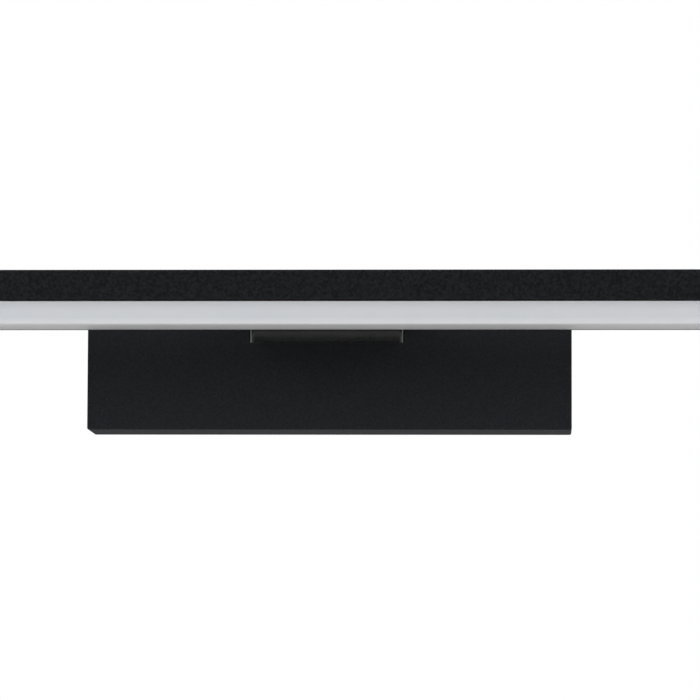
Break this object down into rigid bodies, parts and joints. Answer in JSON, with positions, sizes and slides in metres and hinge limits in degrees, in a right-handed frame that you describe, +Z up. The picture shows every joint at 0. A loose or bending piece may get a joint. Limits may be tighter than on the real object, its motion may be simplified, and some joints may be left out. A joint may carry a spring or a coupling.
{
  "type": "vanity light bar",
  "caption": "Matt black vanity light: a long bar with an opal diffuser below, on a short tilting arm from a rectangular wall canopy that holds the LED driver.",
  "frame": {"origin": "centre of the canopy on the wall plane, on the back face of the wall bracket", "axes": "+X along the light bar, +Y into the wall, +Z up; the lamp's front faces -Y"},
  "size_m": [0.4, 0.0645, 0.049],
  "materials": {
    "canopy_black": "fine matt black powder coat on folded steel",
    "bar_black": "sandy matt black powder coat on extruded aluminium",
    "opal": "satin opal acrylic, unlit",
    "zinc_steel": "bright zinc plate",
    "black_steel": "black oxide",
    "black_rubber": "matt",
    "white_plastic": "fine moulded texture",
    "grey_plastic": "satin",
    "circuit_board": "green solder mask",
    "led_board": "white solder mask on aluminium",
    "ferrite": "dull ceramic grey",
    "capacitor_sleeve": "shrink sleeve",
    "brass": "turned",
    "nylon": "natural",
    "lead_brown": "wire insulation",
    "lead_blue": "wire insulation",
    "lead_green": "wire insulation, green and yellow on the real lead"
  },
  "bodies": {
    "canopy": {"canopy_cover": "canopy_black", "wall_bracket": "zinc_steel", "backing_plate": "zinc_steel", "canopy_screw_left": "black_steel", "canopy_screw_right": "black_steel", "supply_grommet": "black_rubber", "lug_screw_left": "zinc_steel", "lug_screw_right": "zinc_steel", "lug_grommet": "black_rubber", "driver_case": "white_plastic", "driver_lid": "white_plastic", "driver_board": "circuit_board", "driver_transformer": "ferrite", "driver_input_capacitor": "capacitor_sleeve", "driver_output_capacitor": "capacitor_sleeve", "driver_screw_left": "zinc_steel", "driver_screw_right": "zinc_steel", "terminal_block": "grey_plastic", "terminal_screw_live": "brass", "terminal_screw_neutral": "brass", "terminal_screw_earth": "brass", "earth_tag": "zinc_steel", "earth_screw": "brass", "live_lead": "lead_brown", "neutral_lead": "lead_blue", "earth_lead": "lead_green", "led_lead": "black_rubber", "hinge_lug": "canopy_black", "pivot_screw_left": "black_steel", "pivot_screw_right": "black_steel", "friction_washer_left": "nylon", "friction_washer_right": "nylon"},
    "light_bar": {"hinge_fork": "canopy_black", "bar_housing": "bar_black", "diffuser": "opal", "led_board": "led_board", "lead_connector": "white_plastic", "end_cap_left": "bar_black", "end_cap_right": "bar_black", "end_cap_screw_left": "black_steel", "end_cap_screw_right": "black_steel", "fork_screw_left": "zinc_steel", "fork_screw_right": "zinc_steel", "slot_nut_left": "zinc_steel", "slot_nut_right": "zinc_steel", "board_screw_left": "zinc_steel", "board_screw_right": "zinc_steel", "fork_grommet": "black_rubber"}
  },
  "joints": [
    {"name": "bar_tilt", "type": "hinge", "parent": "canopy", "child": "light_bar", "pos_m": [0, -0.0352, 0.0136], "axis": [1, 0, 0], "range_deg": [-60, 60], "deforming": ["led_lead"]}
  ]
}
